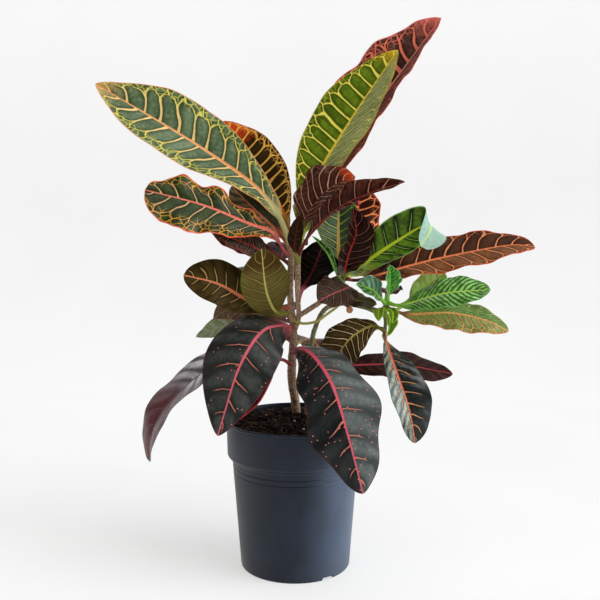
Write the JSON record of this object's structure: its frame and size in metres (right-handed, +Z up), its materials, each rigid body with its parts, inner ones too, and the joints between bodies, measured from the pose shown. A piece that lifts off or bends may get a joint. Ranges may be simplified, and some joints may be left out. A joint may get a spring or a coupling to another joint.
{
  "type": "potted croton plant",
  "caption": "Bushy potted croton with large waved, strongly veined leaves in green, yellow, orange and dark red, in a plain round nursery pot.",
  "frame": {"origin": "centre of the flat underside of the pot, on the surface the pot stands on", "axes": "+Z up along the pot's axis, -Y towards the viewer of the plant's front, +X to the viewer's right"},
  "size_m": [0.5612, 0.3064, 0.6942],
  "materials": {
    "pot_plastic": "matt, dark slate blue-grey",
    "potting_soil": "rough, moist potting mix",
    "bark": "rough bark with leaf scars",
    "leaf_sage": "glossy grey-green leaf",
    "leaf_green": "glossy green leaf",
    "leaf_lime": "glossy yellow-green leaf",
    "leaf_red": "glossy red-veined leaf",
    "leaf_maroon": "glossy dark red leaf",
    "leaf_bronze": "glossy brown-green leaf",
    "leaf_dark": "glossy near-black green leaf"
  },
  "bodies": {
    "root": {"pot": "pot_plastic", "soil": "potting_soil", "trunk": "bark", "side_stem": "bark", "leaf_01": "leaf_sage", "leaf_02": "leaf_bronze", "leaf_03": "leaf_red", "leaf_04": "leaf_green", "leaf_05": "leaf_maroon", "leaf_06": "leaf_maroon", "leaf_33": "leaf_dark", "leaf_07": "leaf_lime", "leaf_08": "leaf_red", "leaf_09": "leaf_maroon", "leaf_10": "leaf_green", "leaf_36": "leaf_lime", "leaf_21": "leaf_maroon", "leaf_11": "leaf_bronze", "leaf_12": "leaf_green", "leaf_13": "leaf_green", "leaf_14": "leaf_lime", "leaf_15": "leaf_green", "leaf_16": "leaf_green", "leaf_17": "leaf_bronze", "leaf_18": "leaf_lime", "leaf_19": "leaf_dark", "leaf_20": "leaf_maroon", "leaf_35": "leaf_bronze", "leaf_37": "leaf_lime", "leaf_38": "leaf_lime", "leaf_22": "leaf_dark", "leaf_23": "leaf_dark", "leaf_34": "leaf_maroon", "leaf_24": "leaf_maroon", "leaf_25": "leaf_lime", "leaf_26": "leaf_dark", "leaf_27": "leaf_bronze", "leaf_28": "leaf_green", "leaf_29": "leaf_green", "leaf_30": "leaf_bronze", "leaf_31": "leaf_red", "leaf_32": "leaf_red", "leaf_back_01": "leaf_bronze", "leaf_back_02": "leaf_green", "leaf_back_03": "leaf_maroon", "leaf_back_04": "leaf_green", "leaf_back_05": "leaf_dark", "leaf_back_06": "leaf_bronze", "leaf_back_07": "leaf_green", "leaf_back_08": "leaf_lime", "leaf_back_09": "leaf_green", "leaf_back_10": "leaf_maroon", "leaf_back_11": "leaf_bronze"}
  },
  "joints": []
}
